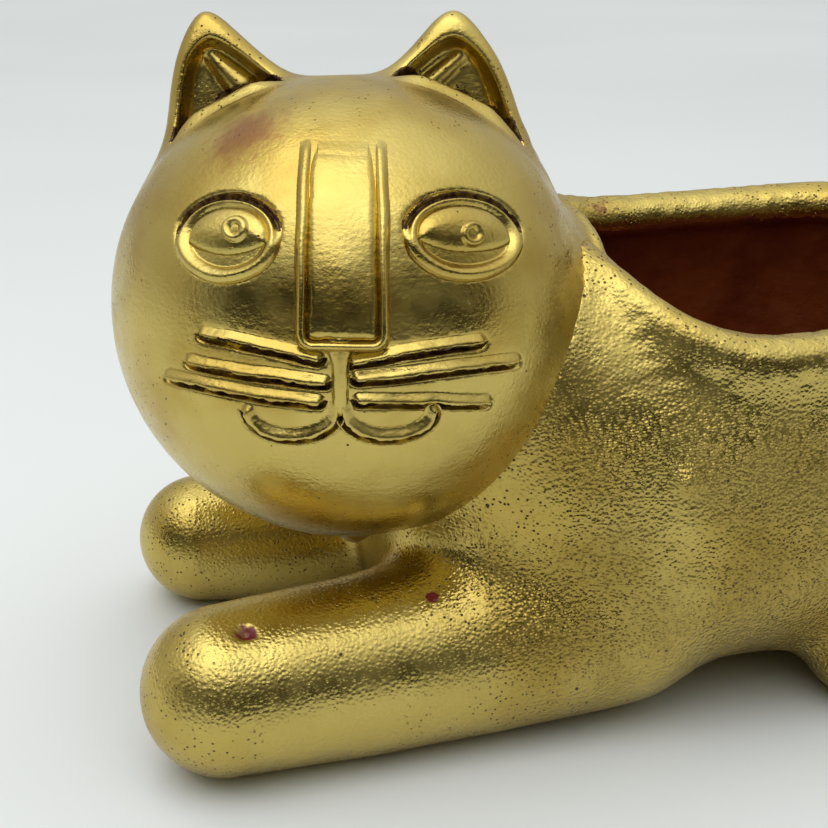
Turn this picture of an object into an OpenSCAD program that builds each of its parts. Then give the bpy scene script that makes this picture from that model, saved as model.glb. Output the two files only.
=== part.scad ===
// Reclining cat planter: hand-built hollow pottery, painted gold over a red undercoat.
// The cat lies along X with its forelegs towards -X and its ball head turned to face -Y.
// The origin is on the ground, under the middle of the whole figure.

/* [Head] */
// Diameter of the ball head
head_d = 100; // [90:1:106]
// Height of the head's centre above the ground
head_z = 90; // [86:1:94]
// How far the head's centre sits from the body's middle plane, towards the side it faces
head_offset = 6; // [0:1:10]
// Turn of the face away from square to the body, towards the paws, in degrees
face_turn = 14; // [0:1:25]
// Upward tilt of the face, in degrees
face_tilt = 17; // [0:1:25]

/* [Body] */
// Length over everything, paws to tail
length = 248; // [240:1:256]
// Greatest half width of the pot's wall
pot_half_w = 58; // [54:1:60]
// Height of the wall's top edge halfway along the pot, before the lip is added
rim_z = 88; // [86:1:93]
// Thickness of the clay wall
wall = 7; // [5:0.5:8]
// Thickness of the pot's floor
floor_t = 9; // [7:0.5:11]

/* [Legs and tail] */
// Radius of the near foreleg at its paw
leg_r = 18; // [16:0.5:19]
// Half distance between the forepaws' middles
paw_spread = 37; // [34:1:39]
// Radius of the tail at its root
tail_r = 9; // [7:0.5:10]

/* [Applied clay on the face] */
// Height of the whisker coils' middles above the ball's surface
relief = 0.6; // [0.2:0.1:1]
// Radius of a whisker coil
whisker_r = 1.2; // [1:0.1:1.6]
// Half length of an eye
eye_half_w = 10.3; // [9:0.1:11]
// Half height of an eye
eye_half_h = 7.7; // [7:0.1:9]

/* [Hidden] */
fine = 240;

head_r = head_d / 2;
front_x = -length / 2;
paw_lead = 2.5;
head_x = front_x + head_r + paw_lead;
head_c = [head_x, -head_offset, head_z];
head_wall = 6;
vent_d = 6;

// The neck is a short round stub, from the ball back and down into the pot.
neck_drop = 29;
neck_swing = 8;
neck_reach = 38;
neck_r = 40;
neck_flare = 4;
seam_r = 1.5;

// The pot, in distances along X and shares of the way from the ground up to the rim.
rim_rise_front = 15;
rim_rise_back = 8;
rim_roll = 0.1;
pot_mid_x = head_x + 84;
chest_x = head_x + 6;
chest_t = 0.3;
rim_front_x = head_x + 46;
tail_room = 10;
rump_x = front_x + length - tail_room;
rump_t = 0.46;
rump_lean = 16;
rim_back_x = rump_x - rump_lean;
widest_t = 0.48;
base_reach = 0.5;
shoulder_reach = 0.93;
squareness = 2.4;
pot_steps = 48;
pot_levels = 10;
rim_r = 4.9;
rim_height = 0.95;

// The forelegs. They draw together and thicken on their way back into the body.
far_leg_slimmer = 1.7;
far_paw_back = 6.5;
leg_sunk = 0.6;
leg_thicker = 3.5;
leg_root_lift = 5;

// The hindquarters. The haunches stand in the pot's rear corners, and their paws lie along the ground.
haunch_root_r = 25;
haunch_knee_r = 19;
haunch_root_z = 50;
haunch_knee_z = 27;
haunch_x = head_x + 162;
knee_x = head_x + 128;
knee_y = 38;
hind_heel_r = 15.5;
hind_toe_r = 13.5;
hind_heel_x = head_x + 150;
hind_toe_x = head_x + 112;
hind_toe_y = 46;
hind_sunk = 0.5;

// The tail leaves the rump's middle, drops to the ground and curls round to the face's side.
tail_root_z = 50;
tail_slimmer = 2;
tail_tip = [rump_x - 15, -46];
tail_sunk = 0.8;

// Places on the face as [x, z], seen square on, with 0 at the ball's middle.
face_mid_x = -0.6;
left_eye = [22.6, 12.6];
right_eye = [-21.6, 12.2];
left_eye_longer = 0.7;
left_pupil_at = [23.5, 12.6];
right_pupil_at = [-19.5, 13.6];
eye_rim_r = 1.3;
eyeball_edge_r = 1.4;
eyeball_crown_r = 2.2;
eyeball_sunk = 0.6;
pupil_r = 2.6;
pupil_seat = 1.2;
left_ear_tip = [24.8, 58.6];
left_ear_edge = [29, 53];
left_ear_outer = [34.5, 34];
left_ear_inner = [12.5, 43.5];
right_ear_tip = [-29.3, 59.2];
right_ear_edge = [-32.6, 52.5];
right_ear_outer = [-32.6, 37];
right_ear_inner = [-13.5, 44];
ear_tip_r = 3.2;
ear_base_r = 5;
ear_y = 1;
nose_top = 31;
nose_tip = -7;
nose_half_w = 8.2;
nose_taper = 0.82;
nose_rise = 1.1;
nose_sunk = 0.9;
nose_edge_r = 1.6;
panel_from = 0.1;
panel_to = 0.85;
panel_inset = 2.4;
panel_proud = 1.1;
panel_edge_r = 1;
mouth_z = -19.2;
lip_half_w = 8.3;
lip_middle = 9.1;
lip_drop = 5.2;

gold = "#c8a548";
pale_gold = "#d9bd66";
deep_gold = "#a98a35";
clay_red = "#7a2418";

// ---------- shared shapes ----------

// Turns what stands in the face's frame (face towards -Y, ball centred on 0) into place.
module on_head() {
  translate(head_c) rotate([-face_tilt, 0, -face_turn]) children();
}

// Turns +Z into the neck's direction, with 0 at the ball's centre.
module along_neck() {
  translate(head_c) rotate([0, 0, neck_swing]) rotate([0, 90 + neck_drop, 0]) children();
}

// A chain of balls joined two by two. Each stop is [x, y, z, radius].
module chain(stops, facets) {
  for (i = [0 : len(stops) - 2])
    hull() {
      translate([stops[i].x, stops[i].y, stops[i].z]) sphere(r = stops[i][3], $fn = facets);
      translate([stops[i + 1].x, stops[i + 1].y, stops[i + 1].z]) sphere(r = stops[i + 1][3], $fn = facets);
    }
}

// A point in front of the ball, at height h above its surface, seen square on at [x, z].
function on_ball(x, z, h = 0) =
  let (p = [x, -sqrt(head_r * head_r - x * x - z * z), z])
  p * (head_r + h) / head_r;

// A point a fraction t along a smooth curve through a start, a middle handle and an end.
function bend(a, b, c, t) = a * (1 - t) * (1 - t) + b * 2 * t * (1 - t) + c * t * t;

// Everything below the ground, to cut flat resting faces.
module below_ground() {
  translate([0, 0, -50]) cube([2 * length, length, 100], center = true);
}

// ---------- the pot's form ----------

// Half width of the pot's wall at a share of the way up to the rim.
function half_w(t) =
  let (reach = t < widest_t ? base_reach : shoulder_reach)
  pot_half_w * sqrt(1 - pow((t - widest_t) / reach, 2));

// Foremost and rearmost points of the wall at a share of the way up to the rim.
function front_at(t) = chest_x + (rim_front_x - chest_x) * pow((t - chest_t) / (1 - chest_t), 2);
function back_at(t) = rump_x - (rump_x - rim_back_x) * pow((t - rump_t) / (1 - rump_t), 2);

// Height of the wall's top edge over a place in plan. The mouth leans a little towards the face's side.
function rim_at(p) =
  let (f = (pot_mid_x - p.x) / (pot_mid_x - rim_front_x), b = (p.x - pot_mid_x) / (rim_back_x - pot_mid_x))
  rim_z + rim_roll * p.y + rim_rise_front * pow(max(0, f), 2.2) + rim_rise_back * pow(max(0, b), 2);

// A point of the plan outline at a share of the way up: superellipse halves that meet at the pot's middle.
function outline(t, inset, a) =
  let (
    p = 2 / squareness,
    along = cos(a) < 0 ? pot_mid_x - front_at(t) - inset : back_at(t) - inset - pot_mid_x
  )
  [
    pot_mid_x + along * sign(cos(a)) * pow(abs(cos(a)), p),
    (half_w(t) - inset) * sign(sin(a)) * pow(abs(sin(a)), p)
  ];

// A ring of the wall at a share of the way from z0 up to the rim, moved in by inset.
function ring(share, z0, inset) = [
  for (k = [0 : pot_steps - 1])
    let (
      a = 360 * k / pot_steps,
      top = rim_at(outline(1, inset, a)),
      z = z0 + share * (top - z0),
      p = outline(z / top, inset, a)
    )
    [p.x, p.y, z]
];

// Stitches rings of equal count into one closed solid, capped at both ends.
module stitched(rings) {
  n = len(rings[0]);
  m = len(rings);
  points = [for (r = rings) each r];
  sides = [
    for (j = [0 : m - 2], k = [0 : n - 1])
      let (a = j * n + k, b = j * n + (k + 1) % n)
      each [[a, a + n, b], [b, a + n, b + n]]
  ];
  caps = [[for (k = [0 : n - 1]) k], [for (k = [n - 1 : -1 : 0]) (m - 1) * n + k]];
  polyhedron(points = points, faces = concat(sides, caps), convexity = 6);
}

function outer_rings() = [for (j = [0 : pot_levels]) ring(j / pot_levels, 0, 0)];
function inner_rings() = [for (j = [pot_levels : -1 : 0]) ring(j / pot_levels, floor_t, wall)];

// The pot's outer form as a solid, used to shape what is luted onto it.
module pot_form() {
  stitched(outer_rings());
}

// ---------- body ----------

// Half of the head's outline, in the plane of the neck's axis: the ball and its slightly flared neck stub.
module head_outline() {
  intersection() {
    union() {
      circle(r = head_r, $fn = fine);
      polygon([[0, 0], [neck_r - neck_flare, 0], [neck_r, neck_reach], [0, neck_reach]]);
    }
    translate([0, -head_r - 1]) square([head_r + 1, 2 * head_r + 2]);
  }
}

// The ball with its neck stub, as a solid.
module head_form() {
  along_neck() rotate_extrude($fn = fine) head_outline();
}

module body_pot() {
  color(clay_red)
    difference() {
      stitched(concat(outer_rings(), inner_rings()));
      head_form();
    }
}

// The middle of the rim coil at an angle round the mouth.
function rim_point(a) =
  let (p = outline(1, wall / 2, a))
  [p.x, p.y, rim_at(p)];

// The rolled lip: a half-round coil laid flat on the wall, cut away where the head stands in its path.
module rim_coil() {
  steps = 40;
  sides = 7;
  points = [
    for (k = [0 : steps - 1])
      let (
        p = rim_point(360 * k / steps),
        d = rim_point(360 * (k + 0.5) / steps) - rim_point(360 * (k - 0.5) / steps),
        out = [d.y, -d.x, 0] / norm([d.x, d.y])
      )
      for (q = [0 : sides - 1])
        p + rim_r * (out * cos(180 * q / (sides - 1)) + [0, 0, rim_height * sin(180 * q / (sides - 1))])
  ];
  faces = [
    for (k = [0 : steps - 1], q = [0 : sides - 1])
      let (k2 = (k + 1) % steps, q2 = (q + 1) % sides, a = k * sides, b = k2 * sides)
      each [[a + q, b + q, a + q2], [a + q2, b + q, b + q2]]
  ];
  color(gold)
    difference() {
      polyhedron(points = points, faces = faces, convexity = 6);
      head_form();
    }
}

// ---------- head ----------

// A hollow ball with a short neck stub. A small vent at the back lets the kiln's heat out.
module head_shell() {
  color(gold)
    along_neck()
      rotate_extrude($fn = fine)
        difference() {
          head_outline();
          circle(r = head_r - head_wall, $fn = fine);
          translate([0, head_r - 2 * head_wall]) square([vent_d / 2, 3 * head_wall]);
        }
}

module neck_seam() {
  color(deep_gold)
    along_neck()
      translate([0, 0, neck_reach])
        rotate_extrude($fn = fine)
          translate([neck_r, 0]) circle(r = seam_r, $fn = 24);
}

// A ball of the ear's plate at an [x, z] place in the face's frame.
module ear_ball(at, r) { translate([at.x, ear_y, at.y]) sphere(r = r, $fn = 24); }

// One ear: a rounded plate through four places, with a hollowed front.
module ear(tip, edge, outer, inner) {
  hollow_r = 2.4;
  hollow_y = -hollow_r - 2.2;
  hollow_share = 0.72;
  edge_r = ear_tip_r + 0.4;
  middle = (tip + outer + inner) / 3;
  color(gold)
    on_head()
      difference() {
        hull() {
          ear_ball(tip, ear_tip_r);
          ear_ball(edge, edge_r);
          ear_ball(outer, ear_base_r);
          ear_ball(inner, ear_base_r);
        }
        hull()
          for (p = [tip, outer, inner])
            let (q = middle + hollow_share * (p - middle))
              translate([q.x, hollow_y, q.y]) sphere(r = hollow_r, $fn = 16);
        sphere(r = head_r, $fn = fine);
      }
}

module left_ear() { ear(left_ear_tip, left_ear_edge, left_ear_outer, left_ear_inner); }
module right_ear() { ear(right_ear_tip, right_ear_edge, right_ear_outer, right_ear_inner); }

// ---------- face ----------

// A closed coil round an eye, laid on the ball.
module eye_rim(at, half_w) {
  steps = 28;
  sides = 8;
  function middle(a) = on_ball(at.x + half_w * cos(a), at.y + eye_half_h * sin(a), relief);
  points = [
    for (k = [0 : steps - 1])
      let (
        a = 360 * k / steps,
        p = middle(a),
        up = p / norm(p),
        d = middle(a + 3) - middle(a - 3),
        across = cross(d / norm(d), up)
      )
      for (q = [0 : sides - 1]) p + eye_rim_r * (across * cos(360 * q / sides) + up * sin(360 * q / sides))
  ];
  faces = [
    for (k = [0 : steps - 1], q = [0 : sides - 1])
      let (k2 = (k + 1) % steps, q2 = (q + 1) % sides, a = k * sides, b = k2 * sides)
      each [[a + q, a + q2, b + q], [a + q2, b + q2, b + q]]
  ];
  color(gold) on_head() difference() {
    polyhedron(points = points, faces = faces, convexity = 6);
    sphere(r = head_r, $fn = fine);
  }
}

// An almond pad of clay inside the rim.
module eyeball(at, half_w) {
  across = half_w * 0.68;
  up = eye_half_h * 0.5;
  color(pale_gold) on_head() difference() {
    hull() {
      for (k = [0 : 9])
        translate(on_ball(at.x + across * cos(36 * k), at.y + up * sin(36 * k), -eyeball_sunk))
          sphere(r = eyeball_edge_r, $fn = 10);
      translate(on_ball(at.x, at.y, 0)) sphere(r = eyeball_crown_r, $fn = 12);
    }
    sphere(r = head_r, $fn = fine);
  }
}

// A small round button with a dimple, luted on the eyeball.
module pupil(at) {
  p = on_ball(at.x, at.y, pupil_seat);
  color(deep_gold) on_head()
    translate(p) rotate([0, acos(p.z / norm(p)), atan2(p.y, p.x)])
      rotate_extrude($fn = 48)
        polygon([[0, 0], [pupil_r, 0], [pupil_r, 0.5], [pupil_r - 0.5, 1], [0.9, 1], [0.4, 0.6], [0, 0.5]]);
}

module left_eye_rim() { eye_rim(left_eye, eye_half_w + left_eye_longer); }
module right_eye_rim() { eye_rim(right_eye, eye_half_w - left_eye_longer); }
module left_eyeball() { eyeball(left_eye, eye_half_w + left_eye_longer); }
module right_eyeball() { eyeball(right_eye, eye_half_w - left_eye_longer); }
module left_pupil() { pupil(left_pupil_at); }
module right_pupil() { pupil(right_pupil_at); }

// A bar down the middle of the face: pairs of balls joined into a flat-topped strip.
// Each stop is [z, half width, height of the balls' middles above the ball].
module strip(stops, r) {
  for (i = [0 : len(stops) - 2])
    hull()
      for (s = [stops[i], stops[i + 1]], side = [-1, 1])
        translate(on_ball(face_mid_x + side * (s[1] - r), s[0], s[2])) sphere(r = r, $fn = 12);
}

// Height, half width and rise of the nose bar at a share of the way from its top to its tip.
function nose_stop(t) = [
  nose_top * (1 - t) + nose_tip * t,
  nose_half_w * (nose_taper + (1 - nose_taper) * t),
  nose_rise * sqrt(t) - nose_sunk
];

// The nose bar before the ball is cut out of it.
module nose_form() {
  strip([for (i = [0 : 4]) nose_stop(i / 4)], nose_edge_r);
}

module nose_bar() {
  color(gold) on_head() difference() {
    nose_form();
    sphere(r = head_r, $fn = fine);
  }
}

// A thin plate laid on the nose bar, inside its edges.
module nose_panel() {
  color(pale_gold) on_head() difference() {
    strip([
      for (i = [0 : 3])
        let (s = nose_stop(panel_from + (panel_to - panel_from) * i / 3))
        [s[0], s[1] - panel_inset, s[2] + panel_proud]
    ], panel_edge_r);
    nose_form();
    sphere(r = head_r, $fn = fine);
  }
}

// A thin coil laid on the ball through places given as [x, z] in the face's frame.
module coil(places, r) {
  color(gold) on_head() difference() {
    chain([for (p = places) let (q = on_ball(p.x, p.y, relief)) [q.x, q.y, q.z, r]], 10);
    sphere(r = head_r, $fn = fine);
  }
}

// A whisker leaves the muzzle at a and ends at c, with a slight bow at its middle.
module whisker(a, c, bow) {
  coil([for (i = [0 : 6]) bend(a, (a + c) / 2 + [0, bow], c, i / 6)], whisker_r);
}

module philtrum() { coil([[face_mid_x, -8.6], [face_mid_x, -13], [face_mid_x, -18.4]], whisker_r); }

// Half of the mouth: a hanging arc from the philtrum's foot out to one side.
module lip(side) {
  coil([
    for (i = [0 : 8])
      let (a = 180 * i / 8)
      [face_mid_x + side * (lip_middle - lip_half_w * cos(a)), mouth_z - lip_drop * sin(a)]
  ], whisker_r);
}

module left_lip() { lip(1); }
module right_lip() { lip(-1); }
module left_top_whisker() { whisker([2, -10.3], [25.2, -6.5], 1.2); }
module left_middle_whisker() { whisker([2.7, -13.2], [32.6, -10.4], 0.4); }
module left_lower_whisker() { whisker([2.9, -17.3], [27, -18.1], 0.6); }
module right_top_whisker() { whisker([-4.7, -9.6], [-25.9, -5], 0.4); }
module right_middle_whisker() { whisker([-3.6, -13.8], [-28.8, -10.3], -0.6); }
module right_lower_whisker() { whisker([-4.7, -17.5], [-33.5, -13.3], -0.8); }

// ---------- legs and tail ----------

// Rings of a tube along a cubic curve, with radius going from r0 to r1 and both ends rounded.
function limb_rings(a, b, c, d, r0, r1, steps = 8, sides = 20, cap = 4) =
  let (
    at = function (t) a * pow(1 - t, 3) + b * 3 * t * pow(1 - t, 2) + c * 3 * t * t * (1 - t) + d * pow(t, 3),
    first = [for (i = [1 : cap]) [0, -cos(90 * i / cap), sin(90 * i / cap)]],
    middle = [for (i = [1 : steps - 1]) [i / steps, 0, 1]],
    last = [for (i = [cap : -1 : 1]) [1, cos(90 * i / cap), sin(90 * i / cap)]]
  )
  [
    for (s = concat(first, middle, last))
      let (
        t = s[0],
        r = r0 + (r1 - r0) * t,
        way = at(min(1, t + 0.01)) - at(max(0, t - 0.01)),
        ahead = way / norm(way),
        flat = cross([0, 0, 1], ahead),
        e1 = flat / norm(flat),
        e2 = cross(ahead, e1),
        p = at(t) + ahead * r * s[1]
      )
      [for (k = [0 : sides - 1]) p + r * s[2] * (e1 * cos(360 * k / sides) + e2 * sin(360 * k / sides))]
  ];

// side is -1 for the near, left side of the body and 1 for the far, right side.
module foreleg(side) {
  color(gold) difference() {
    foreleg_form(side);
    pot_form();
    below_ground();
  }
}

// The far foreleg is a little slimmer, and drawn back.
module foreleg_form(side) {
  r = side < 0 ? leg_r : leg_r - far_leg_slimmer;
  paw_x = front_x + r + (side < 0 ? 0 : far_paw_back);
  rest_z = r - leg_sunk;
  stitched(limb_rings(
    [paw_x, side * paw_spread, rest_z],
    [head_x - 12, side * (paw_spread - 2), rest_z],
    [head_x + 22, side * (paw_spread - 4), rest_z],
    [head_x + 54, side * (paw_spread - 4), rest_z + leg_root_lift],
    r, r + leg_thicker));
}

module haunch_form(side) {
  stitched(limb_rings(
    [haunch_x, side * 25, haunch_root_z], [haunch_x - 6, side * knee_y, haunch_root_z - 2],
    [knee_x + 16, side * (knee_y + 5), haunch_knee_z + 11], [knee_x, side * knee_y, haunch_knee_z],
    haunch_root_r, haunch_knee_r));
}

module haunch(side) {
  color(gold) difference() {
    haunch_form(side);
    pot_form();
    below_ground();
  }
}

module hind_paw_form(side) {
  stitched(limb_rings(
    [hind_heel_x, side * (hind_toe_y - 4), hind_heel_r - hind_sunk],
    [hind_heel_x - 12, side * (hind_toe_y - 2), hind_heel_r - hind_sunk],
    [hind_toe_x + 14, side * hind_toe_y, hind_toe_r - hind_sunk],
    [hind_toe_x, side * hind_toe_y, hind_toe_r - hind_sunk],
    hind_heel_r, hind_toe_r, 6));
}

module hind_paw(side) {
  color(gold) difference() {
    hind_paw_form(side);
    haunch_form(side);
    pot_form();
    below_ground();
  }
}

module tail_form() {
  stitched(limb_rings(
    [rump_x - 10, 0, tail_root_z], [rump_x + 8, 2, tail_root_z - 20],
    [rump_x + 6, tail_tip.y + 16, 2], [tail_tip.x, tail_tip.y, tail_r - tail_sunk],
    tail_r, tail_r - tail_slimmer, 12));
}

module tail() {
  color(gold) difference() {
    tail_form();
    haunch_form(-1);
    hind_paw_form(-1);
    pot_form();
    below_ground();
  }
}

module left_foreleg() { foreleg(-1); }
module right_foreleg() { foreleg(1); }
module left_haunch() { haunch(-1); }
module right_haunch() { haunch(1); }
module left_hind_paw() { hind_paw(-1); }
module right_hind_paw() { hind_paw(1); }

body_pot();
rim_coil();
head_shell();
neck_seam();
left_ear();
right_ear();
left_eye_rim();
right_eye_rim();
left_eyeball();
right_eyeball();
left_pupil();
right_pupil();
nose_bar();
nose_panel();
philtrum();
left_lip();
right_lip();
left_top_whisker();
left_middle_whisker();
left_lower_whisker();
right_top_whisker();
right_middle_whisker();
right_lower_whisker();
left_foreleg();
right_foreleg();
left_haunch();
right_haunch();
left_hind_paw();
right_hind_paw();
tail();
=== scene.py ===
"""A reclining cat planter in gold-painted pottery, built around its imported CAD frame."""
import math
from collections import namedtuple
from functools import partial

import bpy
import numpy as np
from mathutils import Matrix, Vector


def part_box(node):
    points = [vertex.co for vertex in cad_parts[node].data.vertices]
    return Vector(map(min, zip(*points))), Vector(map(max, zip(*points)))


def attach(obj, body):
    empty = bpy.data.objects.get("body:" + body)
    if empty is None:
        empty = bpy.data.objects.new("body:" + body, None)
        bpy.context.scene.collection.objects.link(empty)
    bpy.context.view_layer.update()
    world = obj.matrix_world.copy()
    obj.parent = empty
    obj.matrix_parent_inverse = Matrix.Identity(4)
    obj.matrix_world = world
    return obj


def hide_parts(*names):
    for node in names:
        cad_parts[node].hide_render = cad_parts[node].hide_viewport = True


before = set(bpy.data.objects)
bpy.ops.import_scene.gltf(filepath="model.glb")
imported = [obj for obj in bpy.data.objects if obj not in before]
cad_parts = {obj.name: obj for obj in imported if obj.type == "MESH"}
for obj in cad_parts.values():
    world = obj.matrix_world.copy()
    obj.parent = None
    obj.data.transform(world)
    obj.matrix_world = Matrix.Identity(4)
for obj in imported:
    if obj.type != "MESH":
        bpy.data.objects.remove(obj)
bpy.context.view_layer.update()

import openvdb
from mathutils import Matrix, Vector

MM = 0.001


# ---------- places worked out from the frame, in millimetres ----------

def box_mm(node):
    """Lowest and highest corners of a CAD node."""
    low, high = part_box(node)
    return np.array(low) / MM, np.array(high) / MM


def node_points(node):
    """The vertices of a CAD node."""
    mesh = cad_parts[node].data
    flat = np.empty(len(mesh.vertices) * 3, np.float32)
    mesh.vertices.foreach_get("co", flat)
    return flat.reshape(-1, 3).astype(float) / MM


def turn(axis, degrees):
    """A rotation about an axis, as a matrix."""
    return np.array(Matrix.Rotation(math.radians(degrees), 3, axis))


# The head: a ball, with its face turned towards the paws and tilted up.
HEAD_LOW, HEAD_HIGH = box_mm("head_shell")
HEAD_R = (HEAD_HIGH[1] - HEAD_LOW[1]) / 2
HEAD = np.array([HEAD_LOW[0] + HEAD_R, (HEAD_LOW[1] + HEAD_HIGH[1]) / 2, HEAD_HIGH[2] - HEAD_R])
CROWN_PRESS = 0.045
FACE_TURN = 14
FACE_TILT = 17
FACE = turn("Z", -FACE_TURN) @ turn("X", -FACE_TILT)

# The neck runs from the ball's middle to the seam, and flares a little on its way.
SEAM_LOW, SEAM_HIGH = box_mm("neck_seam")
SEAM = (SEAM_LOW + SEAM_HIGH) / 2
SEAM_BEAD = 1.5
NECK_REACH = np.linalg.norm(SEAM - HEAD)
NECK = (SEAM - HEAD) / NECK_REACH
NECK_R = ((SEAM_HIGH - SEAM_LOW)[1] / 2 - SEAM_BEAD) / math.sqrt(1 - NECK[1] ** 2)
NECK_FLARE = 4
NECK_FILLET = 9

# The pot, in distances along X and in shares (T) of the way from the ground up to the rim.
POT_WIDEST_T = 0.48
POT_BASE_REACH = 0.5
POT_SHOULDER_REACH = 0.93
POT_LOW, POT_HIGH = box_mm("body_pot")
POT_HALF_W = (POT_HIGH[1] - POT_LOW[1]) / 2
POT_MID = HEAD[0] + 84
CHEST_X = HEAD[0] + 6
CHEST_T = 0.3
RIM_FRONT_X = HEAD[0] + 46
RUMP_X = POT_HIGH[0]
RUMP_T = 0.46
RIM_BACK_X = RUMP_X - 16
RIM_Z = 88
RIM_ROLL = 0.1
RIM_RISE_FRONT = 15
RIM_RISE_BACK = 8
RIM_R = 4.9
WALL = 7
FLOOR_T = 9
SQUARENESS = 2.4
# Turns a level distance to the sloping wall into nearly the true one.
WALL_LEAN = 0.9
NECK_LAP = 16
SHOULDER_FILLET = 16

# The legs and the tail. Handles of curves are for side 1, the far side.
NEAR_PAW_X = box_mm("left_foreleg")[0][0]
LEG_R = 18
LEG_SUNK = 0.6
FAR_LEG_SLIMMER = 1.7
FAR_PAW_BACK = 6.5
PAW_SPREAD = 37
LEG_THICKER = 3.5
HAUNCH = [
    (HEAD[0] + 162, 25, 50), (HEAD[0] + 156, 38, 48), (HEAD[0] + 144, 43, 38), (HEAD[0] + 128, 38, 27),
]
HAUNCH_R = (25, 19)
HIND_PAW = [
    (HEAD[0] + 150, 42, 15), (HEAD[0] + 138, 44, 15), (HEAD[0] + 126, 46, 13), (HEAD[0] + 112, 46, 13),
]
HIND_PAW_R = (15.5, 13.5)
TAIL = [(RUMP_X - 10, 0, 50), (RUMP_X + 8, 2, 30), (RUMP_X + 6, -30, 2), (RUMP_X - 15, -46, 8.2)]
TAIL_R = (9, 7)
LIMB_FILLET = 15


# ---------- fields: distance to a surface in millimetres, less than 0 inside ----------

def smooth_min(a, b, k):
    """The lesser of two distances, with a fillet about k wide where they meet."""
    h = np.maximum(k - np.abs(a - b), 0) / k
    return np.minimum(a, b) - h ** 3 * k / 6


def smooth_max(a, b, k):
    """The greater of two distances, with their shared edge rounded over about k."""
    return -smooth_min(-a, -b, k)


def step_up(x, low, high):
    """0 below low, 1 above high, and smooth between."""
    t = np.clip((x - low) / (high - low), 0, 1)
    return t * t * (3 - 2 * t)


def bump(x, middle, width):
    """A smooth hill of height 1, that is 0 from width away."""
    return 1 - step_up(np.abs(x - middle), 0, width)


def lattice(cells):
    """A fixed pseudo-random number from -1 to 1 for each whole-number cell."""
    mixed = cells[..., 0] * 374761393 + cells[..., 1] * 668265263 + cells[..., 2] * 2147483647
    mixed = (mixed ^ (mixed >> 13)) * 1274126177
    return ((mixed ^ (mixed >> 16)) & 0xFFFF) / 32767.5 - 1


def noise(points, size):
    """Smooth noise from about -1 to 1, with hills about size apart."""
    scaled = points / size + 311.7
    cell = np.floor(scaled).astype(np.int64)
    part = scaled - cell
    part = part * part * (3 - 2 * part)
    total = 0
    for corner in np.ndindex(2, 2, 2):
        share = np.abs(1 - np.array(corner) - part)
        total = total + share[:, 0] * share[:, 1] * share[:, 2] * lattice(cell + np.array(corner))
    return total


def tube(points, handles, r_start, r_end):
    """Distance to a tube along a cubic curve, whose radius goes from r_start to r_end."""
    a, b, c, d = (np.array(h, float) for h in handles)

    def at(t):
        t = t[:, None]
        return a * (1 - t) ** 3 + b * 3 * t * (1 - t) ** 2 + c * 3 * t * t * (1 - t) + d * t ** 3

    def speed(t):
        t = t[:, None]
        return 3 * ((b - a) * (1 - t) ** 2 + 2 * (c - b) * t * (1 - t) + (d - c) * t * t)

    best = np.full(len(points), np.inf)
    nearest = np.zeros(len(points))
    for stop in np.linspace(0, 1, 13):
        gap = np.sum((points - at(np.array([stop]))) ** 2, axis=1)
        nearest = np.where(gap < best, stop, nearest)
        best = np.minimum(best, gap)
    for _ in range(4):
        way = speed(nearest)
        nearest = nearest + np.sum((points - at(nearest)) * way, axis=1) / np.sum(way * way, axis=1)
        nearest = np.clip(nearest, 0, 1)
    return np.linalg.norm(points - at(nearest), axis=1) - (r_start + (r_end - r_start) * nearest)


# ---------- the head's form ----------

def along_neck(points):
    """Distance along the neck from the ball's middle, and distance out from the neck's axis."""
    rel = points - HEAD
    along = rel @ NECK
    return along, np.linalg.norm(rel - along[:, None] * NECK, axis=1)


def neck_side(points):
    """Distance to the flared side of the neck, which runs on beyond both its ends."""
    along, out = along_neck(points)
    return out - (NECK_R - NECK_FLARE + NECK_FLARE * np.clip(along, 0, 60) / NECK_REACH)


def globe(points):
    """Height above the ball, which is pressed a little flat on top."""
    rel = points - HEAD
    lift = 1 + CROWN_PRESS * step_up(rel[:, 2], 8, HEAD_R)
    return np.sqrt(rel[:, 0] ** 2 + rel[:, 1] ** 2 + (rel[:, 2] * lift) ** 2) - HEAD_R


def head_form(points):
    """The ball, and the neck that flares out of it as far as the seam."""
    along, _ = along_neck(points)
    neck = smooth_max(neck_side(points), along - NECK_REACH, 2)
    neck = np.maximum(neck, -along)
    return smooth_min(globe(points), neck, NECK_FILLET)


def face_place(points):
    """Each point in the face's frame, moved onto the ball, and its height above the ball."""
    local = (points - HEAD) @ FACE
    away = np.linalg.norm(local, axis=1)
    return local * (HEAD_R / np.maximum(away, 1))[:, None], globe(points)


# ---------- the pot's form ----------

def rim_height(points):
    """Height of the wall's top edge over each point. The mouth leans a little towards the viewer."""
    x = points[:, 0]
    front = np.clip((POT_MID - x) / (POT_MID - RIM_FRONT_X), 0, 1.3)
    back = np.clip((x - POT_MID) / (RIM_BACK_X - POT_MID), 0, 1.3)
    return RIM_Z + RIM_ROLL * points[:, 1] + RIM_RISE_FRONT * front ** 2.2 + RIM_RISE_BACK * back ** 2


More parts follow.
